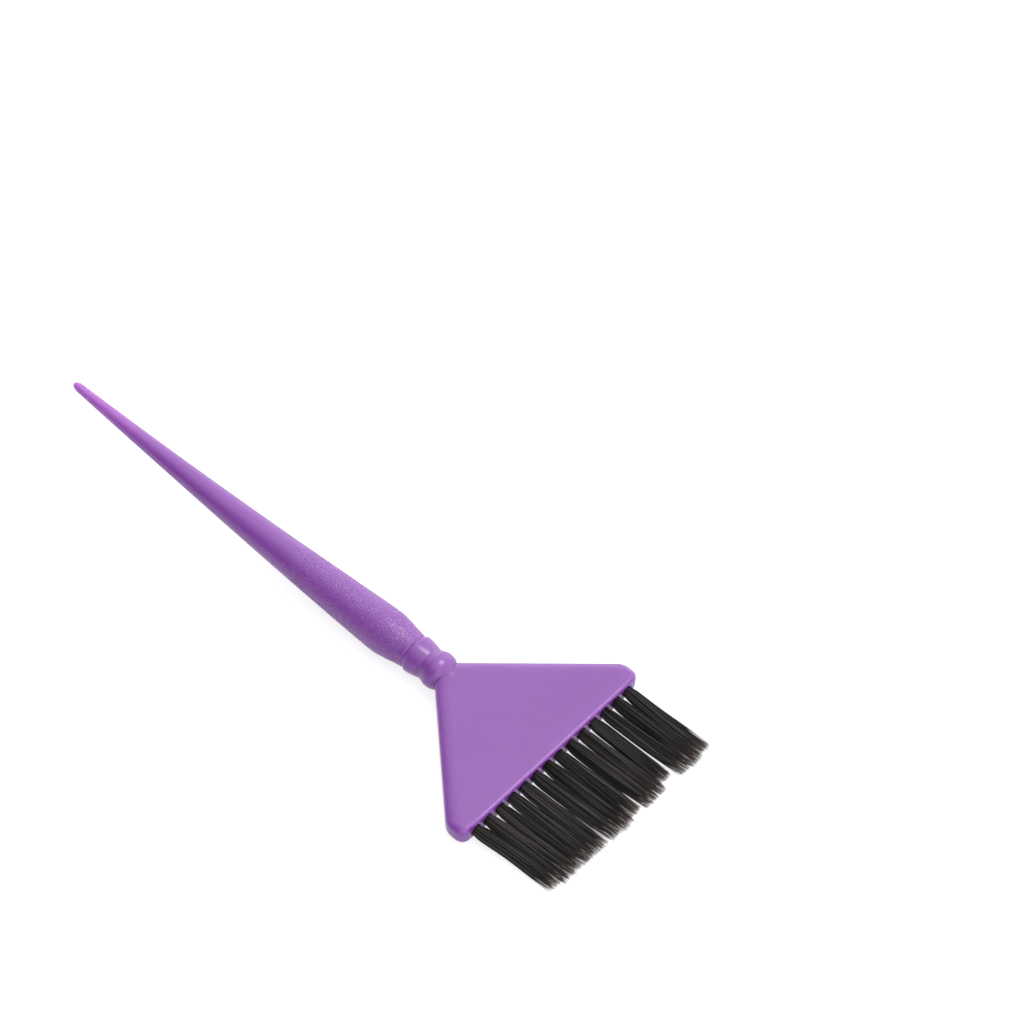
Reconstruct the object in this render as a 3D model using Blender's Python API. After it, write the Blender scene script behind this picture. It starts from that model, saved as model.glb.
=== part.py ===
"""Salon tint brush: one moulded body (tail, grip, neck and fan head) and a single row of
bristle tufts, each folded over a flat metal anchor that is driven into a blind hole.

Brush frame: x runs along the brush from the tail tip to the bristle tips, y across the head
and z square to the head's flat faces, with z = 0 at the head's mid-plane. An empty holds that
frame in the pose in which the brush lies on a table, on its grip and on the head's lip.
"""
import math

import bmesh
import bpy
from mathutils import Matrix, Vector

MM = 0.001
TINY = 0.001 * MM
GAP = 0.3 * MM

# Lengths along the brush, from the tail tip.
GRIP_END = 138.8 * MM
COLLAR_END = 145.1 * MM
NECK_END = 152.2 * MM
BEAD_END = 153.8 * MM
FAN_CORNER = 186.0 * MM
LIP_END = 192.3 * MM
BRISTLE_TIPS = 220.0 * MM

# Turned tail and grip.
SIDES = 32
TAIL_RADIUS = 1.45 * MM
TAIL_SIDE = 3.0 * MM
TAIL_RINGS = 4
TAIL_FLAT_ANGLE = math.radians(12.0)
HANDLE_BOW = 1.9 * MM
GRIP_STATIONS = (
    (TAIL_SIDE, TAIL_RADIUS),
    (36.0 * MM, 2.82 * MM),
    (67.0 * MM, 4.24 * MM),
    (98.0 * MM, 5.72 * MM),
    (118.0 * MM, 6.66 * MM),
    (128.0 * MM, 7.03 * MM),
    (132.5 * MM, 6.58 * MM),
    (136.0 * MM, 5.94 * MM),
    (GRIP_END, 5.55 * MM),
)
GRIP_STEPS = 3

# Neck: a groove, a collar that slopes down from its shoulder, then a round bead that meets the head.
GROOVE_FLOOR = (139.2 * MM, 5.30 * MM)
GROOVE_WALL = (139.7 * MM, 5.68 * MM)
COLLAR_SHOULDER = (140.5 * MM, 5.98 * MM)
BEAD_STATIONS = (
    (COLLAR_END, 5.17 * MM),
    (146.2 * MM, 5.33 * MM),
    (148.2 * MM, 5.87 * MM),
    (150.3 * MM, 5.60 * MM),
    (151.5 * MM, 4.90 * MM),
    (152.4 * MM, 4.10 * MM),
    (153.2 * MM, 3.60 * MM),
    (BEAD_END, 3.30 * MM),
)
BEAD_STEPS = 2

# Fan head. Its flat faces are inset from the outline, and a curved bevel runs between them.
FAN_HALF_WIDTH = 37.4 * MM
FAN_SLOPE = 0.948
FAN_CORNER_RADIUS = 5.0 * MM
LIP_CORNER_RADIUS = 2.8 * MM
CORNER_STEPS = 4
HEAD_START = 149.5 * MM
FACE_APEX = 153.1 * MM
FACE_APEX_HALF_WIDTH = 0.15 * MM
FACE_SIDE_INSET = 2.8 * MM
FACE_LIP_INSET = 0.9 * MM
FACE_CORNER_RADIUS = 1.2 * MM
FACE_HALF_HEIGHT = 3.5 * MM
RIM_HALF_HEIGHT = 1.2 * MM
LIP_RIM_HALF_HEIGHT = 2.9 * MM
LIP_RIM_RISE = 5.0 * MM
LIP_RISE_SHARES = (0.25, 0.5, 0.75, 1.0)
BEVEL_STEPS = 3

# Tufts and their holes. A tuft spreads over the first TUFT_FLARE_SHARE of its free length, and
# the row gathers towards the axis by the share TUFT_GATHER at the tips.
TUFT_COUNT = 14
TUFT_PITCH = 4.90 * MM
TUFT_SIDES = 12
TUFT_ROOT_RADIUS = 1.45 * MM
TUFT_GATHER = 0.03
TUFT_HALF_WIDTH = 0.5 * TUFT_PITCH * (1.0 - TUFT_GATHER) - 0.5 * GAP
TUFT_HALF_THICKNESS = 1.7 * MM
TUFT_FOLD_RADIUS = 0.9 * MM
TUFT_FOLD_LENGTH = 0.6 * MM
TUFT_TIP_THICKNESS = 0.5
TUFT_FLARE_SHARE = 0.45
TUFT_RING_SHARES = (0.0, 0.1, 0.2, 0.32, TUFT_FLARE_SHARE, 0.85)
HOLE_SIDES = 16
HOLE_RADIUS = TUFT_ROOT_RADIUS + GAP
HOLE_DEPTH = 7.5 * MM

# Flat-wire anchors, each across its hole.
ANCHOR_THICKNESS = 0.4 * MM
ANCHOR_WIDTH = 1.4 * MM
ANCHOR_LENGTH = 4.0 * MM
ANCHOR_FROM_HOLE_FLOOR = 1.9 * MM

PURPLE = (0.340, 0.150, 0.480, 1.0)
CHARCOAL = (0.020, 0.018, 0.018, 1.0)
BRASS = (0.560, 0.420, 0.180, 1.0)


def clear_scene():
    for obj in list(bpy.data.objects):
        bpy.data.objects.remove(obj, do_unlink=True)


def principled(name, color, roughness, metallic=0.0):
    material = bpy.data.materials.new(name)
    material.use_nodes = True
    shader = material.node_tree.nodes["Principled BSDF"]
    shader.inputs["Base Color"].default_value = color
    shader.inputs["Roughness"].default_value = roughness
    shader.inputs["Metallic"].default_value = metallic
    return material


def skin(name, rings):
    """Closed solid through rings of equal point count, with its first and last ring capped."""
    bm = bmesh.new()
    loops = [[bm.verts.new(point) for point in ring] for ring in rings]
    bm.faces.new(loops[0])
    bm.faces.new(loops[-1])
    for near, far in zip(loops, loops[1:]):
        for here in range(len(near)):
            after = (here + 1) % len(near)
            bm.faces.new((near[here], near[after], far[after], far[here]))
    bmesh.ops.recalc_face_normals(bm, faces=bm.faces)
    mesh = bpy.data.meshes.new(name)
    bm.to_mesh(mesh)
    bm.free()
    return mesh


def join_meshes(name, meshes):
    bm = bmesh.new()
    for mesh in meshes:
        bm.from_mesh(mesh)
    joined = bpy.data.meshes.new(name)
    bm.to_mesh(joined)
    bm.free()
    return joined


def round_ring(x, half_width, half_height, sides, y=0.0, z=0.0):
    """Points of an ellipse in the plane square to the brush's length."""
    angles = [2.0 * math.pi * side / sides for side in range(sides)]
    return [Vector((x, y + half_width * math.cos(a), z + half_height * math.sin(a))) for a in angles]


def box_rings(low, high):
    """Two square rings that skin() closes into a box."""
    corners = ((low.x, low.y), (high.x, low.y), (high.x, high.y), (low.x, high.y))
    return [[Vector((x, y, z)) for x, y in corners] for z in (low.z, high.z)]


def blend(start, end, share):
    return start + (end - start) * share


def bow(x):
    """Height of the handle's centre line: it sags between the tail tip and the neck."""
    share = min(x / NECK_END, 1.0)
    return -4.0 * HANDLE_BOW * share * (1.0 - share)


def smooth_profile(stations, steps):
    """Catmull-Rom curve through (x, radius) stations, with some steps to each stretch."""
    points = [Vector(station) for station in stations]
    padded = [2.0 * points[0] - points[1]] + points + [2.0 * points[-1] - points[-2]]
    curve = []
    for before, here, there, beyond in zip(padded, padded[1:], padded[2:], padded[3:]):
        for step in range(steps):
            t = step / steps
            linear = there - before
            square = 2.0 * before - 5.0 * here + 4.0 * there - beyond
            cube = 3.0 * (here - there) + beyond - before
            curve.append(0.5 * (2.0 * here + linear * t + square * t * t + cube * t * t * t))
    return [(point.x, point.y) for point in curve] + [stations[-1]]


def tail_profile():
    """Round end of the tail, from a small flat at its very tip."""
    angles = [blend(TAIL_FLAT_ANGLE, 0.5 * math.pi, ring / TAIL_RINGS) for ring in range(TAIL_RINGS)]
    return [(TAIL_SIDE * (1.0 - math.cos(a)), TAIL_RADIUS * math.sin(a)) for a in angles]


def turned_profile():
    """(x, radius) of the whole turned stretch, ending inside the head."""
    grip = smooth_profile(GRIP_STATIONS, GRIP_STEPS)
    collar = [GROOVE_FLOOR, GROOVE_WALL, COLLAR_SHOULDER]
    return tail_profile() + grip + collar + smooth_profile(BEAD_STATIONS, BEAD_STEPS)


def handle_mesh():
    rings = [round_ring(x, radius, radius, SIDES, z=bow(x)) for x, radius in turned_profile()]
    return skin("handle", rings)


def rounded(before, corner, after, radius, steps):
    """Arc that replaces an outline's corner, with its end points on the two sides."""
    to_before = (before - corner).normalized()
    to_after = (after - corner).normalized()
    half_angle = 0.5 * to_before.angle(to_after)
    centre = corner + (to_before + to_after).normalized() * radius / math.sin(half_angle)
    start = corner + to_before * radius / math.tan(half_angle) - centre
    sweep = start.angle_signed(corner + to_after * radius / math.tan(half_angle) - centre)
    turns = [Matrix.Rotation(-sweep * step / steps, 2) for step in range(steps + 1)]
    return [centre + turn @ start for turn in turns]


def fan_outline(start, half_width, side_line_x, lip_x, fan_radius, lip_radius):
    """Outline whose slanting sides meet at side_line_x if they are run back to the axis."""
    first = Vector((start, (start - side_line_x) * FAN_SLOPE))
    fan_corner = Vector((side_line_x + half_width / FAN_SLOPE, half_width))
    lip_corner = Vector((lip_x, half_width))
    half = [first]
    half += rounded(first, fan_corner, lip_corner, fan_radius, CORNER_STEPS)
    half += rounded(fan_corner, lip_corner, Vector((lip_x, -half_width)), lip_radius, CORNER_STEPS)
    corner_y = half_width - lip_radius
    half += [Vector((lip_x, corner_y - LIP_RIM_RISE * share)) for share in LIP_RISE_SHARES]
    return half + [Vector((point.x, -point.y)) for point in reversed(half)]


def rim_half_height(point):
    """The rim is low round the sides and corners, and rises from the corners along the lip."""
    from_corner = FAN_HALF_WIDTH - LIP_CORNER_RADIUS - abs(point.y)
    on_lip = point.x > LIP_END - TINY and from_corner > 0.0
    rise = min(from_corner / LIP_RIM_RISE, 1.0) if on_lip else 0.0
    return blend(RIM_HALF_HEIGHT, LIP_RIM_HALF_HEIGHT, rise * rise * (3.0 - 2.0 * rise))


def bevel_ring(rim, face, angle):
    """Points on the curved bevel, from the rim at 0 to the flat face at plus or minus 90 degrees."""
    ring = []
    for outer, inner in zip(rim, face):
        low = math.copysign(rim_half_height(outer), angle)
        high = math.copysign(FACE_HALF_HEIGHT, angle)
        point = blend(outer, inner, 1.0 - math.cos(angle))
        ring.append(Vector((point.x, point.y, blend(low, high, abs(math.sin(angle))))))
    return ring


def head_mesh():
    """Fan head between two flat faces, with an upright rim and a curved bevel on each side."""
    rim_line = FAN_CORNER - FAN_HALF_WIDTH / FAN_SLOPE
    rim = fan_outline(
        HEAD_START, FAN_HALF_WIDTH, rim_line, LIP_END, FAN_CORNER_RADIUS, LIP_CORNER_RADIUS)
    face = fan_outline(
        FACE_APEX + FACE_APEX_HALF_WIDTH / FAN_SLOPE,
        FAN_HALF_WIDTH - FACE_SIDE_INSET,
        FACE_APEX,
        LIP_END - FACE_LIP_INSET,
        FACE_CORNER_RADIUS,
        FACE_CORNER_RADIUS,
    )
    quarter = [0.5 * math.pi * step / BEVEL_STEPS for step in range(BEVEL_STEPS + 1)]
    below = [bevel_ring(rim, face, -angle) for angle in reversed(quarter)]
    above = [bevel_ring(rim, face, angle) for angle in quarter]
    return skin("head", below + above)


def row_offsets():
    """Places of the tufts across the head, centred on the brush's axis."""
    return [(index - 0.5 * (TUFT_COUNT - 1)) * TUFT_PITCH for index in range(TUFT_COUNT)]


def hole_cutter_mesh():
    hole_floor = LIP_END - HOLE_DEPTH
    holes = []
    for y in row_offsets():
        rings = [round_ring(x, HOLE_RADIUS, HOLE_RADIUS, HOLE_SIDES, y) for x in (hole_floor, LIP_END + MM)]
        holes.append(skin("hole", rings))
    return join_meshes("holes", holes)


def anchor_box(y, clearance):
    centre = Vector((LIP_END - HOLE_DEPTH + ANCHOR_FROM_HOLE_FLOOR, y, 0.0))
    half = 0.5 * Vector((ANCHOR_WIDTH, ANCHOR_THICKNESS, ANCHOR_LENGTH)) + Vector([clearance] * 3)
    return skin("anchor_box", box_rings(centre - half, centre + half))


def anchor_slot_mesh():
    """Room for every anchor, both in its tuft and in the wall of its hole."""
    return join_meshes("anchor_slots", [anchor_box(y, GAP) for y in row_offsets()])


def tuft_mesh(name, root_y):
    """Bundle folded double at its root, round in the hole, spreading and gathering to its tip."""
    fold = LIP_END - HOLE_DEPTH + GAP
    full = fold + TUFT_FOLD_LENGTH
    rings = [
        round_ring(fold, TUFT_FOLD_RADIUS, TUFT_FOLD_RADIUS, TUFT_SIDES, root_y),
        round_ring(full, TUFT_ROOT_RADIUS, TUFT_ROOT_RADIUS, TUFT_SIDES, root_y),
    ]
    for share in TUFT_RING_SHARES:
        spread = math.sin(0.5 * math.pi * min(1.0, share / TUFT_FLARE_SHARE))
        half_width = blend(TUFT_ROOT_RADIUS, TUFT_HALF_WIDTH, spread)
        half_height = blend(TUFT_ROOT_RADIUS, TUFT_HALF_THICKNESS, spread)
        x = blend(LIP_END, BRISTLE_TIPS, share)
        y = root_y * (1.0 - TUFT_GATHER * share)
        rings.append(round_ring(x, half_width, half_height, TUFT_SIDES, y))
    tip_y = root_y * (1.0 - TUFT_GATHER)
    tip_height = TUFT_TIP_THICKNESS * TUFT_HALF_THICKNESS
    rings.append(round_ring(BRISTLE_TIPS, TUFT_HALF_WIDTH, tip_height, TUFT_SIDES, tip_y))
    return skin(name, rings)


def lying_matrix(meshes):
    """Pose of the brush on a table: it touches at the grip and at the lip's lower edge, and the
    world's origin is on the table, under the middle of the brush's box."""
    points = [vertex.co for mesh in meshes for vertex in mesh.vertices]
    grip = [point for point in points if point.x < GRIP_END and point.z < 0.0]
    lip = [point for point in points if FAN_CORNER < point.x <= LIP_END and point.z < -RIM_HALF_HEIGHT]
    tilt = min(max(math.atan2(far.z - near.z, far.x - near.x) for near in grip) for far in lip)
    turn = Matrix.Rotation(tilt, 4, "Y")
    placed = [turn @ point for point in points]
    middle_x = 0.5 * (min(p.x for p in placed) + max(p.x for p in placed))
    lowest = min(p.z for p in placed)
    return Matrix.Translation((-middle_x, 0.0, -lowest)) @ turn


def brush_frame(matrix):
    frame = bpy.data.objects.new("brush_frame", None)
    bpy.context.scene.collection.objects.link(frame)
    frame.matrix_world = matrix
    return frame


def add_object(name, mesh, frame, material=None, y=0.0):
    obj = bpy.data.objects.new(name, mesh)
    bpy.context.scene.collection.objects.link(obj)
    obj.parent = frame
    obj.location.y = y
    if material:
        mesh.materials.clear()
        mesh.materials.append(material)
        mesh.shade_smooth()
        mesh.set_sharp_from_angle(angle=math.radians(28.0))
    else:
        obj.hide_render = True
        obj.display_type = "WIRE"
    return obj


def add_boolean(obj, operation, cutter):
    modifier = obj.modifiers.new(cutter.name, "BOOLEAN")
    modifier.operation = operation
    modifier.object = cutter


def build():
    clear_scene()
    handle = handle_mesh()
    head = head_mesh()
    tufts = [tuft_mesh("tuft", y) for y in row_offsets()]
    anchor = anchor_box(0.0, 0.0)
    frame = brush_frame(lying_matrix([handle, head] + tufts))

    head_form = add_object("head_form", head, frame)
    hole_cutter = add_object("hole_cutter", hole_cutter_mesh(), frame)
    slot_cutter = add_object("anchor_slot_cutter", anchor_slot_mesh(), frame)

    body = add_object("brush_body", handle, frame, principled("purple_plastic", PURPLE, 0.35))
    add_boolean(body, "UNION", head_form)
    add_boolean(body, "DIFFERENCE", hole_cutter)
    add_boolean(body, "DIFFERENCE", slot_cutter)

    bristle = principled("nylon_bristle", CHARCOAL, 0.45)
    metal = principled("anchor_wire", BRASS, 0.35, metallic=1.0)
    for number, (y, tuft) in enumerate(zip(row_offsets(), tufts), start=1):
        bundle = add_object(f"tuft_{number:02d}", tuft, frame, bristle)
        add_boolean(bundle, "DIFFERENCE", slot_cutter)
        add_object(f"anchor_{number:02d}", anchor, frame, metal, y)


build()
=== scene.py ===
"""Looks of the salon tint brush: a fine moulded body with a pebbled grip, and fourteen tufts of
separate nylon filaments, each folded over its anchor, on a pale floor in soft studio light.

The brush's shapes are made in its own frame, as in the CAD: x along the brush from the tail tip,
y across the head, z square to the head's flat faces. Lengths are in metres.
"""
import math
from dataclasses import dataclass

import bmesh
import bpy
import numpy as np
from mathutils import Matrix, Vector


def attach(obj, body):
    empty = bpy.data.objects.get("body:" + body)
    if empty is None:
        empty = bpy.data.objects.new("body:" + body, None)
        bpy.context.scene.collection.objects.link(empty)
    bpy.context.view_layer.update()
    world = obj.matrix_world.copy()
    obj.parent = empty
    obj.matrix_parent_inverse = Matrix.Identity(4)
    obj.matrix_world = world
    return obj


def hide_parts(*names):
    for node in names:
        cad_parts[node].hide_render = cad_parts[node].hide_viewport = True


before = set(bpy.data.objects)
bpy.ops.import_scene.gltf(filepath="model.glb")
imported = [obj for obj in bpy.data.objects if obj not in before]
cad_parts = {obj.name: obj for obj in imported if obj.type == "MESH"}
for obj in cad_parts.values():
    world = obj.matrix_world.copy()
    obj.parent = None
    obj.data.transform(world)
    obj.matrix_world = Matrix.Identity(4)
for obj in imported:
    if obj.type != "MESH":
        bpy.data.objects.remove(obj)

MM = 0.001
TINY = 0.001 * MM
SEED = 14

# Camera, lights and floor, in the world. The floor is at z = 0. The surround is bright on the side
# that BRIGHT_SIDE points to, and dims towards the opposite horizon.
CAMERA_AT = Vector((502.7, -470.8, 898.9)) * MM
CAMERA_AIM = Vector((11.8, 60.7, 0.0)) * MM
CAMERA_ROLL = math.radians(-0.79)
CAMERA_LENS = 136.8
CAMERA_CLIP = (0.01, 20.0)
BRIGHT_TURN = math.radians(55.0)
BRIGHT_SIDE = (math.cos(BRIGHT_TURN), math.sin(BRIGHT_TURN), 0.0)
BRIGHT_LEVEL = 2.6
DIM_LEVEL = 0.36
OVERHEAD_AT = Vector((0.14, 0.38, 1.13))
OVERHEAD_AIM = Vector((0.0, 0.0, 0.0))
OVERHEAD_SIZE = (0.40, 0.62)
OVERHEAD_POWER = 5.6
FLOOR_HALF_SIDE = 4.0
FLOOR_COLOR = (0.24, 0.24, 0.24, 1.0)
FLOOR_GLOW = 0.735

# Lengths along the brush, from the tail tip.
GRIP_END = 138.8 * MM
COLLAR_END = 145.1 * MM
NECK_END = 152.2 * MM
BEAD_END = 153.8 * MM
FAN_CORNER = 186.0 * MM
LIP_END = 192.3 * MM
BRISTLE_TIPS = 220.0 * MM

# Turned tail, grip and neck, as (x, radius) stations, with the spacing of the rings on each stretch.
SIDES = 200
TAIL_RADIUS = 1.45 * MM
TAIL_SIDE = 3.0 * MM
TAIL_RING_ANGLES = np.radians(np.linspace(6.0, 84.0, 12))
GRIP_STEP = 1.4 * MM
COLLAR_STEP = 0.12 * MM
BEAD_STEP = 0.2 * MM
CURVE_SAMPLES = 40
HANDLE_BOW = 1.9 * MM
GRIP_STATIONS = (
    (TAIL_SIDE, TAIL_RADIUS),
    (36.0 * MM, 2.82 * MM),
    (67.0 * MM, 4.24 * MM),
    (98.0 * MM, 5.72 * MM),
    (118.0 * MM, 6.66 * MM),
    (128.0 * MM, 7.03 * MM),
    (132.5 * MM, 6.58 * MM),
    (136.0 * MM, 5.94 * MM),
    (GRIP_END, 5.55 * MM),
)
COLLAR_STATIONS = (
    (GRIP_END, 5.50 * MM),
    (139.1 * MM, 5.34 * MM),
    (139.4 * MM, 5.36 * MM),
    (139.7 * MM, 5.62 * MM),
    (140.1 * MM, 5.88 * MM),
    (140.6 * MM, 5.97 * MM),
    (142.4 * MM, 5.74 * MM),
    (144.3 * MM, 5.36 * MM),
    (COLLAR_END, 5.13 * MM),
)
BEAD_STATIONS = (
    (COLLAR_END, 5.13 * MM),
    (146.2 * MM, 5.33 * MM),
    (148.2 * MM, 5.87 * MM),
    (150.3 * MM, 5.60 * MM),
    (151.5 * MM, 4.90 * MM),
    (152.4 * MM, 4.10 * MM),
    (153.2 * MM, 3.60 * MM),
    (BEAD_END, 3.30 * MM),
)

# Pebbled grain of the grip. Its start waves round the grip, and it fades in and out. A pebble is a
# cell round a jittered point of a grid that is laid on the unrolled grip.
GRAIN_START = 86.0 * MM
GRAIN_START_WAVE = 4.0 * MM
GRAIN_START_WAVES = 3.0
GRAIN_MARGIN = 2.0 * MM
GRAIN_FADE = 9.0 * MM
GRAIN_END_FADE = 1.2 * MM
GRAIN_MEAN_RADIUS = 6.4 * MM
GRAIN_CELL = 0.85 * MM
GRAIN_JITTER = 0.38
GRAIN_VALLEY = 0.40
GRAIN_DEPTH = 0.13 * MM
GRAIN_STEP = 0.22 * MM

# Fan head, with a curved bevel between each flat face and the rim.
FAN_HALF_WIDTH = 37.4 * MM
FAN_SLOPE = 0.948
FAN_CORNER_RADIUS = 5.0 * MM
LIP_CORNER_RADIUS = 2.8 * MM
CORNER_STEPS = 12
HEAD_START = 149.5 * MM
FACE_APEX = 153.1 * MM
FACE_APEX_HALF_WIDTH = 0.15 * MM
FACE_SIDE_INSET = 2.8 * MM
FACE_LIP_INSET = 0.9 * MM
FACE_CORNER_RADIUS = 1.2 * MM
FACE_HALF_HEIGHT = 3.5 * MM
RIM_HALF_HEIGHT = 1.2 * MM
LIP_RIM_HALF_HEIGHT = 2.9 * MM
LIP_RIM_RISE = 5.0 * MM
BEVEL_STEPS = 16
SIDE_STEPS = 24
SIDE_CROWDING = 1.5
LIP_STEPS = 36
INNER_FACE_SCALES = (0.995, 0.9)
FACE_MIDDLE_X = 178.0 * MM
SHARP_ANGLE = math.radians(32.0)

# Holes of the tufts, as (x, radius) stations. The mouth is a little wider, with a soft edge.
TUFT_COUNT = 14
TUFT_PITCH = 4.90 * MM
HOLE_RADIUS = 1.8 * MM
HOLE_DEPTH = 7.5 * MM
HOLE_SIDES = 48
HOLE_MOUTH = 0.2 * MM
HOLE_STATIONS = (
    (LIP_END - HOLE_DEPTH, HOLE_RADIUS),
    (LIP_END - 1.5 * HOLE_MOUTH, HOLE_RADIUS),
    (LIP_END - 0.45 * HOLE_MOUTH, HOLE_RADIUS + 0.35 * HOLE_MOUTH),
    (LIP_END + 0.05 * HOLE_MOUTH, HOLE_RADIUS + HOLE_MOUTH),
    (LIP_END + MM, HOLE_RADIUS + HOLE_MOUTH),
)

# Anchors: the filaments fold over their inner edges. A strand's centre line has one more point in
# the hole, between the anchor and the lip.
ANCHOR_HALF_THICKNESS = 0.2 * MM
ANCHOR_HALF_WIDTH = 0.7 * MM
ANCHOR_FROM_HOLE_FLOOR = 1.9 * MM
ANCHOR_X = LIP_END - HOLE_DEPTH + ANCHOR_FROM_HOLE_FLOOR
STRAND_IN_HOLE_X = ANCHOR_X + 0.75 * (LIP_END - ANCHOR_X)

# Filaments. Each is one strand, folded in two, with two tapered free ends. FILAMENTS is asked for,
# and the few that find no partner on the anchor's other side are left out. Stretches along the
# free length are shares, from 0 at the lip to 1 at BRISTLE_TIPS, or at the strand's own tip for
# TAPER. A tuft takes QUICK_FLARE of its spread just past the lip, and the rest over LATE_FLARE.
# Its strands draw together into locks, whose number is CLUMPS.
FILAMENTS = 88
FILAMENT_RADIUS = 0.108 * MM
FILAMENT_TIP_RADIUS = 0.032 * MM
FILAMENT_SIDES = 6
FREE_STEPS = 14
FOLD_STEPS = 7
ROOT_RADIUS = 1.52 * MM
SPREAD_Y = 2.60 * MM
SPREAD_Z = 1.80 * MM
TIP_SPREAD_Z = 1.20 * MM
QUICK_FLARE = 0.62
QUICK_FLARE_STRETCH = 0.06
LATE_FLARE = (0.25, 0.8)
CLUMPING = (0.2, 1.0)
TAPER = (0.62, 1.0)
TIP_SCATTER = 0.20 * MM
STRAND_WAVE = 0.07 * MM
TIP_LENGTH_SCATTERS = (1.3 * MM, 0.52 * MM)
FLOOR_CLEARANCE = 0.12 * MM
LONGEST_TIPS = 222.8 * MM
CLUMPS = 18
CLUMP_PULL = 0.35
ROOT_JITTER = 0.03

# How far each tuft's tips lean along the row, on a curve of the power LEAN_POWER, how much shorter
# each tuft is than the longest one, and which tufts are bent.
LEAN_POWER = 1.8
TUFT_LEANS = np.array([
    2.0, 1.6, 1.15, 0.75, 0.5, 1.2, 0.85, 0.55, 1.1, 0.5, -0.1, 1.4, 0.85, 0.2]) * MM
TUFT_SHORTS = np.array([
    1.8, 0.8, 0.8, 0.6, 0.6, 0.4, 0.0, 1.3, 0.1, 0.4, 2.4, 0.3, 0.0, 0.9]) * MM
TUFT_BENDS = {0: 0.8 * MM, 1: 0.3 * MM, 13: -0.3 * MM}

# Colours and gloss. Towards the thin tail tip the plastic's colour is made lighter, as painted light
# shining through the thin plastic, over a stretch of the lying brush, from its origin. Light sinks
# GLOW_DEPTH into it. A bristle's tone is 0 for the darkest strand and 1 for the lightest one.
WHITE = (1.0, 1.0, 1.0, 1.0)
PLASTIC_COLORS = ((0.119, 0.027, 0.186, 1.0), (0.129, 0.030, 0.200, 1.0))
PAINTED_TAIL_GLOW = (0.198, 0.058, 0.253, 1.0)
TAIL_GLOW_STRETCH = (-112.0 * MM, -62.0 * MM)
PLASTIC_ROUGHNESS = 0.21
GLOW_RADII = (1.0, 0.6, 1.2)
GLOW_DEPTH = 4.5 * MM
BRISTLE_COLORS = ((0.0040, 0.0034, 0.0034, 1.0), (0.027, 0.0225, 0.0225, 1.0))
BRISTLE_COLOR_TONES = (0.35, 0.95)
BRISTLE_TIP_COLOR = (0.035, 0.022, 0.020, 1.0)
BRISTLE_TIP_STRETCH = (0.86, 1.0)
BRISTLE_SHINES = (0.08, 0.24)
BRISTLE_SHINE_TONES = (0.2, 0.9)
BRASS_COLORS = ((0.46, 0.33, 0.13, 1.0), (0.62, 0.48, 0.22, 1.0))
BRASS_STREAKS = (9000.0, 9000.0, 500.0)

# Sockets of a mix node that mixes colours.
MIX_SHARE, MIX_FIRST, MIX_SECOND, MIX_RESULT = 0, 6, 7, 2


def blend(start, end, share):
    return start + (end - start) * share


def smoothstep(low, high, value):
    share = np.clip((value - low) / (high - low), 0.0, 1.0)
    return share * share * (3.0 - 2.0 * share)


def material_nodes(name):
    """New node material, with a short way to add nodes and links."""
    material = bpy.data.materials.new(name)
    material.use_nodes = True
    tree = material.node_tree
    shader = tree.nodes["Principled BSDF"]

    def node(kind, **values):
        made = tree.nodes.new(kind)
        for key, value in values.items():
            if key in made.inputs:
                made.inputs[key].default_value = value
            else:
                setattr(made, key, value)
        return made

    return material, shader, node, tree.links.new


def color_ramp(node, colors, positions=(0.0, 1.0)):
    ramp = node("ShaderNodeValToRGB")
    for element, color, position in zip(ramp.color_ramp.elements, colors, positions):
        element.color = color
        element.position = position
    return ramp


def map_range(node, source, target=(0.0, 1.0), **settings):
    mapped = node("ShaderNodeMapRange", **settings)
    mapped.inputs["From Min"].default_value, mapped.inputs["From Max"].default_value = source
    mapped.inputs["To Min"].default_value, mapped.inputs["To Max"].default_value = target
    return mapped


def anchor_nodes():
    return [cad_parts[f"anchor_{number:02d}"] for number in range(1, TUFT_COUNT + 1)]


def brush_to_world():
    """Pose of the brush's own frame, read from the CAD anchors: their long sides run along z."""
    corners = [vertex.co.copy() for anchor in anchor_nodes() for vertex in anchor.data.vertices]
    centre = sum(corners, Vector()) / len(corners)
    upper = [c for c in corners if c.z > centre.z]
    up = (sum(upper, Vector()) / len(upper) - centre).normalized()
    turn = Matrix.Rotation(math.atan2(up.x, up.z), 4, "Y")
    return Matrix.Translation(centre - turn @ Vector((ANCHOR_X, 0.0, 0.0))) @ turn


def mesh_from(name, vertices, faces):
    mesh = bpy.data.meshes.new(name)
    mesh.from_pydata([tuple(v) for v in vertices], [], faces)
    mesh.validate()
    return mesh


def skin_faces(count, sides, start=0, caps=True):
    """Quads between rings of equal point count, with the two end rings capped."""
    faces = []
    for ring in range(count - 1):
        low = start + ring * sides
        for side in range(sides):
            after = (side + 1) % sides
            faces.append((low + side, low + after, low + sides + after, low + sides + side))
    if caps:
        faces.append(tuple(start + side for side in reversed(range(sides))))
        faces.append(tuple(start + (count - 1) * sides + side for side in range(sides)))
    return faces


def skin(name, rings):
    vertices = [point for ring in rings for point in ring]
    mesh = mesh_from(name, vertices, skin_faces(len(rings), len(rings[0])))
    outward(mesh)
    return mesh


def outward(mesh):
    """Turns all faces of a closed mesh to the outside."""
    bm = bmesh.new()
    bm.from_mesh(mesh)
    bmesh.ops.recalc_face_normals(bm, faces=bm.faces)
    bm.to_mesh(mesh)
    bm.free()


def add_object(name, mesh, material=None):
    obj = bpy.data.objects.new(name, mesh)
    bpy.context.scene.collection.objects.link(obj)
    if material:
        mesh.materials.append(material)
    return obj


# ---------------------------------------------------------------- moulded body


def bow(x):
    """Height of the handle's centre line: it sags between the tail tip and the neck."""
    share = np.minimum(x / NECK_END, 1.0)
    return -4.0 * HANDLE_BOW * share * (1.0 - share)


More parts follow.
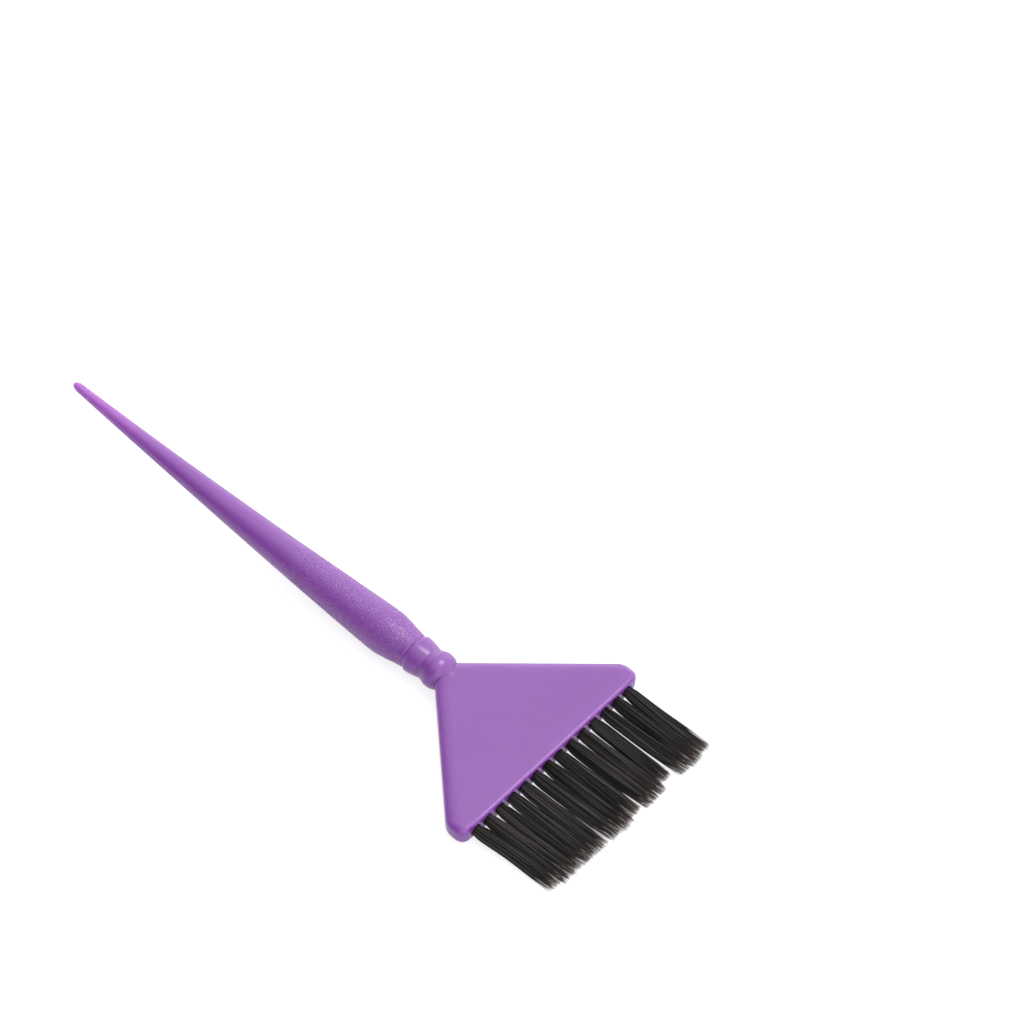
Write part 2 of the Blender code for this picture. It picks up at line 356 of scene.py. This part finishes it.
def curve_through(stations):
    """Catmull-Rom curve through (x, radius) stations, as many close (x, radius) samples."""
    points = [np.array(station) for station in stations]
    padded = [2.0 * points[0] - points[1]] + points + [2.0 * points[-1] - points[-2]]
    samples = []
    for before, here, there, beyond in zip(padded, padded[1:], padded[2:], padded[3:]):
        for t in np.linspace(0.0, 1.0, CURVE_SAMPLES, endpoint=False):
            linear = there - before
            square = 2.0 * before - 5.0 * here + 4.0 * there - beyond
            cube = 3.0 * (here - there) + beyond - before
            samples.append(0.5 * (2.0 * here + linear * t + square * t * t + cube * t * t * t))
    return np.array(samples + [points[-1]])


def resampled(stations, step):
    """The same curve in steps of equal length along x."""
    curve = curve_through(stations)
    count = max(2, int(round((curve[-1, 0] - curve[0, 0]) / step)) + 1)
    xs = np.linspace(curve[0, 0], curve[-1, 0], count)
    return np.column_stack([xs, np.interp(xs, curve[:, 0], curve[:, 1])])


def turned_profile():
    """(x, radius) of the whole turned stretch: sparse on the tail, fine on the grip and neck."""
    turns = TAIL_RING_ANGLES
    tail = np.column_stack([TAIL_SIDE * (1.0 - np.cos(turns)), TAIL_RADIUS * np.sin(turns)])
    grip = resampled(GRIP_STATIONS, GRIP_STEP)
    smooth = grip[grip[:, 0] < GRAIN_START - MM]
    grained = resampled(GRIP_STATIONS, GRAIN_STEP)
    grained = grained[grained[:, 0] >= GRAIN_START - MM]
    collar = resampled(COLLAR_STATIONS, COLLAR_STEP)
    bead = resampled(BEAD_STATIONS, BEAD_STEP)
    return np.vstack([tail, smooth, grained[:-1], collar, bead[1:]])


def grain_height(x, arc, around):
    """Pebbles: raised cells with narrow valleys between them, on the unrolled grip."""
    rng = np.random.default_rng(SEED)
    rows = int((GRIP_END - GRAIN_START + 2.0 * GRAIN_MARGIN) / GRAIN_CELL)
    columns = int(around / GRAIN_CELL)
    width = around / columns
    seeds_x = np.zeros((rows, columns))
    seeds_y = np.zeros((rows, columns))
    for row in range(rows):
        shift = 0.5 * (row % 2)
        jitter = rng.uniform(-GRAIN_JITTER, GRAIN_JITTER, (columns, 2))
        seeds_x[row] = GRAIN_START - GRAIN_MARGIN + (row + 0.5 + jitter[:, 0]) * GRAIN_CELL
        seeds_y[row] = (np.arange(columns) + shift + jitter[:, 1]) * width
    row_of = np.floor((x - GRAIN_START + GRAIN_MARGIN) / GRAIN_CELL).astype(int)
    column_of = np.floor(arc / width).astype(int)
    nearest = np.full(x.shape, 1.0)
    second = np.full(x.shape, 1.0)
    for row_step in range(-2, 3):
        row = np.clip(row_of + row_step, 0, rows - 1)
        for column_step in range(-2, 3):
            column = (column_of + column_step) % columns
            across = np.abs(arc - seeds_y[row, column])
            across = np.minimum(across, around - across)
            distance = np.hypot(x - seeds_x[row, column], across)
            second = np.minimum(second, np.maximum(nearest, distance))
            nearest = np.minimum(nearest, distance)
    return smoothstep(0.0, GRAIN_VALLEY * GRAIN_CELL, second - nearest)


def handle_mesh():
    """Tail, grip, collar and bead as one skin, with the grain pressed into the grip."""
    profile = turned_profile()
    angles = np.linspace(0.0, 2.0 * math.pi, SIDES, endpoint=False)
    x = np.repeat(profile[:, 0], SIDES)
    radius = np.repeat(profile[:, 1], SIDES)
    angle = np.tile(angles, len(profile))
    around = 2.0 * math.pi * GRAIN_MEAN_RADIUS
    start = GRAIN_START + GRAIN_START_WAVE * np.cos(GRAIN_START_WAVES * angle) ** 2
    window = smoothstep(0.0, GRAIN_FADE, x - start) * smoothstep(0.0, GRAIN_END_FADE, GRIP_END - x)
    near = window > 0.0
    height = np.zeros(len(x))
    height[near] = grain_height(x[near], angle[near] / (2.0 * math.pi) * around, around)
    radius = radius - GRAIN_DEPTH * window * (1.0 - height)
    points = np.column_stack([x, radius * np.cos(angle), bow(x) + radius * np.sin(angle)])
    mesh = mesh_from("handle", points, skin_faces(len(profile), SIDES))
    outward(mesh)
    return mesh


def rounded(before, corner, after, radius, steps):
    """Arc that replaces an outline's corner, with its end points on the two sides."""
    to_before = (before - corner).normalized()
    to_after = (after - corner).normalized()
    half_angle = 0.5 * to_before.angle(to_after)
    centre = corner + (to_before + to_after).normalized() * radius / math.sin(half_angle)
    start = corner + to_before * radius / math.tan(half_angle) - centre
    sweep = start.angle_signed(corner + to_after * radius / math.tan(half_angle) - centre)
    turns = [Matrix.Rotation(-sweep * step / steps, 2) for step in range(steps + 1)]
    return [centre + turn @ start for turn in turns]


def fan_outline(start, half_width, side_line_x, lip_x, fan_radius, lip_radius):
    """Outline whose slanting sides meet at side_line_x if they are run back to the axis."""
    first = Vector((start, (start - side_line_x) * FAN_SLOPE))
    fan_corner = Vector((side_line_x + half_width / FAN_SLOPE, half_width))
    lip_corner = Vector((lip_x, half_width))
    fan_arc = rounded(first, fan_corner, lip_corner, fan_radius, CORNER_STEPS)
    lip_arc = rounded(fan_corner, lip_corner, Vector((lip_x, -half_width)), lip_radius, CORNER_STEPS)
    side = [first.lerp(fan_arc[0], (step / SIDE_STEPS) ** SIDE_CROWDING) for step in range(SIDE_STEPS)]
    half = side + fan_arc + lip_arc
    reach = half_width - lip_radius
    turns = [math.pi * step / LIP_STEPS for step in range(1, LIP_STEPS)]
    lip = [Vector((lip_x, reach * math.cos(turn))) for turn in turns]
    return half + lip + [Vector((point.x, -point.y)) for point in reversed(half)]


def rim_half_height(point):
    """The rim is low round the sides and corners, and rises from the corners along the lip."""
    if point.x < LIP_END - TINY:
        return RIM_HALF_HEIGHT
    from_corner = FAN_HALF_WIDTH - LIP_CORNER_RADIUS - abs(point.y)
    return blend(RIM_HALF_HEIGHT, LIP_RIM_HALF_HEIGHT, smoothstep(0.0, LIP_RIM_RISE, from_corner))


def bevel_ring(rim, face, angle):
    """Ring on the upper curved bevel, from the rim at 0 to the flat face at 90 degrees."""
    ring = []
    for outer, inner in zip(rim, face):
        point = blend(outer, inner, 1.0 - math.cos(angle))
        height = blend(rim_half_height(outer), FACE_HALF_HEIGHT, math.sin(angle))
        ring.append(Vector((point.x, point.y, height)))
    return ring


def inner_face_ring(face, scale):
    """The face's outline drawn in towards the head's middle, so that the flat face has even rings."""
    middle = Vector((FACE_MIDDLE_X, 0.0))
    points = [middle.lerp(point, scale) for point in face]
    return [Vector((point.x, point.y, FACE_HALF_HEIGHT)) for point in points]


def head_mesh():
    """Fan head between two flat faces, with an upright rim and a curved bevel on each side."""
    rim_line = FAN_CORNER - FAN_HALF_WIDTH / FAN_SLOPE
    rim = fan_outline(
        HEAD_START, FAN_HALF_WIDTH, rim_line, LIP_END, FAN_CORNER_RADIUS, LIP_CORNER_RADIUS)
    face = fan_outline(
        FACE_APEX + FACE_APEX_HALF_WIDTH / FAN_SLOPE,
        FAN_HALF_WIDTH - FACE_SIDE_INSET,
        FACE_APEX,
        LIP_END - FACE_LIP_INSET,
        FACE_CORNER_RADIUS,
        FACE_CORNER_RADIUS,
    )
    angles = np.linspace(0.0, 0.5 * math.pi, BEVEL_STEPS + 1)
    upper = [bevel_ring(rim, face, angle) for angle in angles]
    upper += [inner_face_ring(face, scale) for scale in INNER_FACE_SCALES]
    lower = [[Vector((point.x, point.y, -point.z)) for point in ring] for ring in reversed(upper)]
    return skin("head", lower + upper)


def row_offsets():
    """Place of each tuft across the head."""
    return [(index - 0.5 * (TUFT_COUNT - 1)) * TUFT_PITCH for index in range(TUFT_COUNT)]


def round_ring(x, radius, sides, y):
    angles = [2.0 * math.pi * side / sides for side in range(sides)]
    return [Vector((x, y + radius * math.cos(a), radius * math.sin(a))) for a in angles]


def hole_cutter_mesh():
    """All blind holes as one mesh."""
    bm = bmesh.new()
    for y in row_offsets():
        rings = [round_ring(x, radius, HOLE_SIDES, y) for x, radius in HOLE_STATIONS]
        bm.from_mesh(skin("hole", rings))
    holes = bpy.data.meshes.new("holes")
    bm.to_mesh(holes)
    bm.free()
    return holes


def add_boolean(obj, operation, other):
    modifier = obj.modifiers.new(other.name, "BOOLEAN")
    modifier.operation = operation
    modifier.object = other


def bake_modifiers(obj):
    """The object's evaluated mesh takes the place of its modifiers."""
    depsgraph = bpy.context.evaluated_depsgraph_get()
    mesh = bpy.data.meshes.new_from_object(obj.evaluated_get(depsgraph))
    obj.modifiers.clear()
    obj.data = mesh
    return mesh


def make_body(pose, material):
    """The one-piece moulding: handle and head joined, with a hole for each tuft."""
    head_form = add_object("head_form", head_mesh())
    holes = add_object("hole_form", hole_cutter_mesh())
    body = add_object("brush_body_moulding", handle_mesh(), material)
    add_boolean(body, "UNION", head_form)
    add_boolean(body, "DIFFERENCE", holes)
    mesh = bake_modifiers(body)
    for form in (head_form, holes):
        bpy.data.objects.remove(form)
    mesh.transform(pose)
    mesh.shade_smooth()
    mesh.set_sharp_from_angle(angle=SHARP_ANGLE)
    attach(body, "root")
    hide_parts("brush_body")


# ---------------------------------------------------------------- tufts


@dataclass
class Tuft:
    """What the filaments of one tuft have in common."""
    row_y: float
    lean: float
    bend: float
    longest: float
    clumps: np.ndarray
    rng: np.random.Generator


def disk_points(count, rng):
    """Evenly scattered points in a unit disk, as a sunflower head has them, with some jitter."""
    step = np.arange(count) + 0.5
    radius = np.sqrt(step / count)
    angle = step * math.pi * (3.0 - math.sqrt(5.0)) + rng.uniform(0.0, 2.0 * math.pi)
    jitter = rng.normal(0.0, ROOT_JITTER, (count, 2))
    return np.column_stack([radius * np.cos(angle), radius * np.sin(angle)]) + jitter


def paired_roots(rng):
    """Places in the hole of both ends of each filament, in unit radii, one each side of the anchor."""
    roots = disk_points(2 * FILAMENTS, rng)
    sides = [roots[roots[:, 0] * side > 0.0] for side in (-1.0, 1.0)]
    count = min(len(side) for side in sides)
    return zip(*(side[np.argsort(side[:, 1])][:count] for side in sides))


def free_end(tuft, root, floor_height):
    """Centre line of one free end, from the anchor's outer edge to the tip, and its tone."""
    rng = tuft.rng
    nearest = np.argmin(np.hypot(*(tuft.clumps - root).T))
    clump = tuft.clumps[nearest]
    tip = tuft.longest - np.abs(rng.normal(size=2)) @ TIP_LENGTH_SCATTERS
    x = np.concatenate([
        [ANCHOR_X + ANCHOR_HALF_WIDTH, STRAND_IN_HOLE_X],
        np.linspace(LIP_END, tip, FREE_STEPS)])
    share = np.maximum(0.0, (x - LIP_END) / (BRISTLE_TIPS - LIP_END))
    quick = 1.0 - np.exp(-share / QUICK_FLARE_STRETCH)
    flare = blend(smoothstep(*LATE_FLARE, share), quick, QUICK_FLARE)
    late = smoothstep(*CLUMPING, share)
    width = blend(ROOT_RADIUS, SPREAD_Y, flare)
    height = blend(ROOT_RADIUS, SPREAD_Z, flare) - (SPREAD_Z - TIP_SPREAD_Z) * late
    drift = rng.normal(0.0, TIP_SCATTER, 2)
    wave = rng.normal(0.0, STRAND_WAVE, 2)
    sway = np.outer(share ** 2, drift) + np.outer(np.sin(math.pi * share), wave)
    y = blend(root[0], clump[0], CLUMP_PULL * late) * width + sway[:, 0]
    z = blend(root[1], clump[1], CLUMP_PULL * late) * height + sway[:, 1]
    y[0] = math.copysign(beside_anchor(abs(root[0])), root[0])
    y += tuft.row_y + tuft.lean * share ** LEAN_POWER + tuft.bend * np.sin(math.pi * share)
    tone = rng.uniform()
    return np.column_stack([x, y, np.maximum(z, floor_height(x) + FLOOR_CLEARANCE)]), tone


def beside_anchor(share):
    """Distance of a strand from the anchor's middle plane, where it lies against the anchor."""
    return blend(ANCHOR_HALF_THICKNESS + FILAMENT_RADIUS, ROOT_RADIUS, share)


def fold_points(one, two):
    """Half turn round the anchor's inner edge, between the two halves of a filament."""
    edge = ANCHOR_X - ANCHOR_HALF_WIDTH
    room = edge - (LIP_END - HOLE_DEPTH) - 2.0 * FILAMENT_RADIUS
    reach = 0.5 * (two[1] - one[1])
    depth = room * min(1.0, reach / ROOT_RADIUS)
    angle = np.linspace(-0.5 * math.pi, 0.5 * math.pi, FOLD_STEPS)
    return np.column_stack([
        edge - depth * np.cos(angle),
        0.5 * (one[1] + two[1]) + reach * np.sin(angle),
        blend(one[2], two[2], 0.5 * (1.0 + np.sin(angle)))])


def tube(path, radii):
    """Vertices of a tube round a path; its rings stay square to the path."""
    tangent = np.gradient(path, axis=0)
    tangent /= np.linalg.norm(tangent, axis=1)[:, None]
    upright = np.array([0.0, 0.0, 1.0]) - tangent * tangent[:, 2:3]
    upright /= np.linalg.norm(upright, axis=1)[:, None]
    sideways = np.cross(tangent, upright)
    angles = np.linspace(0.0, 2.0 * math.pi, FILAMENT_SIDES, endpoint=False)[None, :, None]
    ring = np.cos(angles) * upright[:, None, :] + np.sin(angles) * sideways[:, None, :]
    return (path[:, None, :] + ring * radii[:, None, None]).reshape(-1, 3)


def free_share(end):
    """How far each point of a free end is from the lip to its own tip, 0 to 1."""
    return np.clip((end[:, 0] - LIP_END) / (end[-1, 0] - LIP_END), 0.0, 1.0)


def tuft_mesh(name, tuft, floor_height):
    """All filaments of a tuft, each running from one tip, round the anchor, to the other tip."""
    vertices, faces, shares, tones = [], [], [], []
    for roots in paired_roots(tuft.rng):
        (one, tone_one), (two, tone_two) = (free_end(tuft, root, floor_height) for root in roots)
        path = np.vstack([one[::-1], fold_points(one[0], two[0]), two])
        share = np.concatenate([free_share(one)[::-1], np.zeros(FOLD_STEPS), free_share(two)])
        tone = np.concatenate([
            np.full(len(one), tone_one),
            np.linspace(tone_one, tone_two, FOLD_STEPS),
            np.full(len(two), tone_two)])
        radii = blend(FILAMENT_RADIUS, FILAMENT_TIP_RADIUS, smoothstep(*TAPER, share))
        faces += skin_faces(len(path), FILAMENT_SIDES, len(vertices) * len(path) * FILAMENT_SIDES)
        vertices.append(tube(path, radii))
        shares.append(share)
        tones.append(tone)
    mesh = mesh_from(name, np.vstack(vertices), faces)
    store(mesh, "tip_share", np.repeat(np.concatenate(shares), FILAMENT_SIDES))
    store(mesh, "tone", np.repeat(np.concatenate(tones), FILAMENT_SIDES))
    mesh.shade_smooth()
    return mesh


def store(mesh, name, values):
    """Keeps one value for each vertex, for the material to read."""
    attribute = mesh.attributes.new(name, "FLOAT", "POINT")
    attribute.data.foreach_set("value", values.astype(np.float32))


def make_tufts(pose, material):
    """The row of tufts. No strand goes below the floor, whose height is a function of the brush's x."""
    inverse = pose.inverted()
    normal = inverse.to_3x3() @ Vector((0.0, 0.0, 1.0))
    origin = inverse @ Vector((0.0, 0.0, 0.0))

    def floor_height(x):
        return origin.z - normal.x / normal.z * (x - origin.x)

    for index, row_y in enumerate(row_offsets()):
        number = f"{index + 1:02d}"
        rng = np.random.default_rng((SEED, index))
        tuft = Tuft(
            row_y=row_y,
            lean=TUFT_LEANS[index],
            bend=TUFT_BENDS.get(index, 0.0),
            longest=LONGEST_TIPS - TUFT_SHORTS[index],
            clumps=disk_points(CLUMPS, rng),
            rng=rng,
        )
        mesh = tuft_mesh(f"tuft_{number}_filaments", tuft, floor_height)
        mesh.transform(pose)
        obj = add_object(mesh.name, mesh, material)
        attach(obj, "root")
        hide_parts(f"tuft_{number}")


def paint_anchors(material):
    """The anchors keep their CAD shapes, and take the look of the wire."""
    for anchor in anchor_nodes():
        anchor.data.materials.clear()
        anchor.data.materials.append(material)


# ---------------------------------------------------------------- materials


def purple_plastic():
    """Semi-gloss moulded polypropylene, slightly translucent, with painted light glowing through the
    thin tail tip.
    """
    material, shader, node, link = material_nodes("purple_plastic")
    place = node("ShaderNodeTexCoord")
    mottle = node("ShaderNodeTexNoise", Scale=60.0, Detail=3.0)
    tint = color_ramp(node, PLASTIC_COLORS)
    link(place.outputs["Object"], mottle.inputs["Vector"])
    link(mottle.outputs["Fac"], tint.inputs["Fac"])
    # Painted light: the base colour turns lighter towards the tail tip, standing in for light shining
    # through the thin plastic.
    split = node("ShaderNodeSeparateXYZ")
    tail_glow = map_range(node, TAIL_GLOW_STRETCH, interpolation_type="SMOOTHSTEP")
    mix = node("ShaderNodeMix", data_type="RGBA")
    mix.inputs[MIX_FIRST].default_value = PAINTED_TAIL_GLOW
    link(place.outputs["Object"], split.inputs["Vector"])
    link(split.outputs["X"], tail_glow.inputs["Value"])
    link(tail_glow.outputs["Result"], mix.inputs[MIX_SHARE])
    link(tint.outputs["Color"], mix.inputs[MIX_SECOND])
    link(mix.outputs[MIX_RESULT], shader.inputs["Base Color"])
    peel = node("ShaderNodeTexNoise", Scale=1400.0, Detail=2.0)
    bump = node("ShaderNodeBump", Strength=0.05, Distance=0.1 * MM)
    link(place.outputs["Object"], peel.inputs["Vector"])
    link(peel.outputs["Fac"], bump.inputs["Height"])
    link(bump.outputs["Normal"], shader.inputs["Normal"])
    shader.inputs["Roughness"].default_value = PLASTIC_ROUGHNESS
    shader.inputs["IOR"].default_value = 1.49
    shader.inputs["Subsurface Weight"].default_value = 1.0
    shader.inputs["Subsurface Radius"].default_value = GLOW_RADII
    shader.inputs["Subsurface Scale"].default_value = GLOW_DEPTH
    return material


def nylon_bristle():
    """Charcoal filament, a little different from strand to strand and browner at its thin tip."""
    material, shader, node, link = material_nodes("nylon_bristle")
    share = node("ShaderNodeAttribute", attribute_name="tip_share")
    tone = node("ShaderNodeAttribute", attribute_name="tone")
    strand = color_ramp(node, BRISTLE_COLORS, BRISTLE_COLOR_TONES)
    link(tone.outputs["Fac"], strand.inputs["Fac"])
    tip = map_range(node, BRISTLE_TIP_STRETCH)
    link(share.outputs["Fac"], tip.inputs["Value"])
    mix = node("ShaderNodeMix", data_type="RGBA")
    mix.inputs[MIX_SECOND].default_value = BRISTLE_TIP_COLOR
    link(tip.outputs["Result"], mix.inputs[MIX_SHARE])
    link(strand.outputs["Color"], mix.inputs[MIX_FIRST])
    link(mix.outputs[MIX_RESULT], shader.inputs["Base Color"])
    shine = map_range(node, BRISTLE_SHINE_TONES, BRISTLE_SHINES)
    link(tone.outputs["Fac"], shine.inputs["Value"])
    link(shine.outputs["Result"], shader.inputs["Specular IOR Level"])
    shader.inputs["Roughness"].default_value = 0.34
    shader.inputs["IOR"].default_value = 1.5
    return material


def drawn_brass():
    """Flat wire with faint streaks along its length."""
    material, shader, node, link = material_nodes("anchor_wire")
    place = node("ShaderNodeTexCoord")
    stretch = node("ShaderNodeMapping", Scale=BRASS_STREAKS)
    streak = node("ShaderNodeTexNoise", Scale=1.0, Detail=2.0)
    tint = color_ramp(node, BRASS_COLORS)
    link(place.outputs["Object"], stretch.inputs["Vector"])
    link(stretch.outputs["Vector"], streak.inputs["Vector"])
    link(streak.outputs["Fac"], tint.inputs["Fac"])
    link(tint.outputs["Color"], shader.inputs["Base Color"])
    shader.inputs["Metallic"].default_value = 1.0
    shader.inputs["Roughness"].default_value = 0.32
    return material


def floor_material():
    """Pale back-lit sheet, as on a product table: it glows a little, so shadows stay faint."""
    material, shader, _, _ = material_nodes("pale_floor")
    shader.inputs["Base Color"].default_value = FLOOR_COLOR
    shader.inputs["Roughness"].default_value = 0.9
    shader.inputs["Emission Color"].default_value = WHITE
    shader.inputs["Emission Strength"].default_value = FLOOR_GLOW
    return material


# ---------------------------------------------------------------- stage


def make_camera():
    data = bpy.data.cameras.new("camera")
    data.lens = CAMERA_LENS
    data.clip_start, data.clip_end = CAMERA_CLIP
    camera = bpy.data.objects.new("camera", data)
    bpy.context.scene.collection.objects.link(camera)
    aim = (CAMERA_AIM - CAMERA_AT).to_track_quat("-Z", "Y").to_matrix().to_4x4()
    camera.matrix_world = Matrix.Translation(CAMERA_AT) @ aim @ Matrix.Rotation(CAMERA_ROLL, 4, "Z")
    bpy.context.scene.camera = camera


def make_floor():
    corner_signs = ((-1.0, -1.0), (1.0, -1.0), (1.0, 1.0), (-1.0, 1.0))
    corners = [(x * FLOOR_HALF_SIDE, y * FLOOR_HALF_SIDE, 0.0) for x, y in corner_signs]
    mesh = mesh_from("floor", corners, [(0, 1, 2, 3)])
    floor = add_object("floor", mesh, floor_material())


def add_softbox(name, place, aim, size, power):
    data = bpy.data.lights.new(name, "AREA")
    data.shape = "RECTANGLE"
    data.size, data.size_y = size
    data.energy = power
    light = bpy.data.objects.new(name, data)
    bpy.context.scene.collection.objects.link(light)
    turn = (aim - place).to_track_quat("-Z", "Y").to_matrix().to_4x4()
    light.matrix_world = Matrix.Translation(place) @ turn


def make_world():
    """Soft studio surround: bright on the half that BRIGHT_SIDE faces, and dimmest opposite it."""
    world = bpy.data.worlds.new("studio")
    world.use_nodes = True
    tree = world.node_tree
    direction = tree.nodes.new("ShaderNodeTexCoord")
    facing = tree.nodes.new("ShaderNodeVectorMath")
    facing.operation = "DOT_PRODUCT"
    facing.inputs[1].default_value = BRIGHT_SIDE
    level = tree.nodes.new("ShaderNodeMapRange")
    level.interpolation_type = "SMOOTHSTEP"
    level.inputs["From Min"].default_value = -1.0
    level.inputs["From Max"].default_value = 0.0
    level.inputs["To Min"].default_value = DIM_LEVEL
    level.inputs["To Max"].default_value = BRIGHT_LEVEL
    tree.links.new(direction.outputs["Generated"], facing.inputs[0])
    tree.links.new(facing.outputs["Value"], level.inputs["Value"])
    background = tree.nodes["Background"]
    background.inputs["Color"].default_value = WHITE
    tree.links.new(level.outputs["Result"], background.inputs["Strength"])
    bpy.context.scene.world = world


def make_lights():
    make_world()
    add_softbox("overhead_softbox", OVERHEAD_AT, OVERHEAD_AIM, OVERHEAD_SIZE, OVERHEAD_POWER)
    bpy.context.scene.view_settings.view_transform = "Standard"


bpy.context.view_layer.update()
pose = brush_to_world()
make_camera()
make_floor()
make_lights()
make_body(pose, purple_plastic())
make_tufts(pose, nylon_bristle())
paint_anchors(drawn_brass())
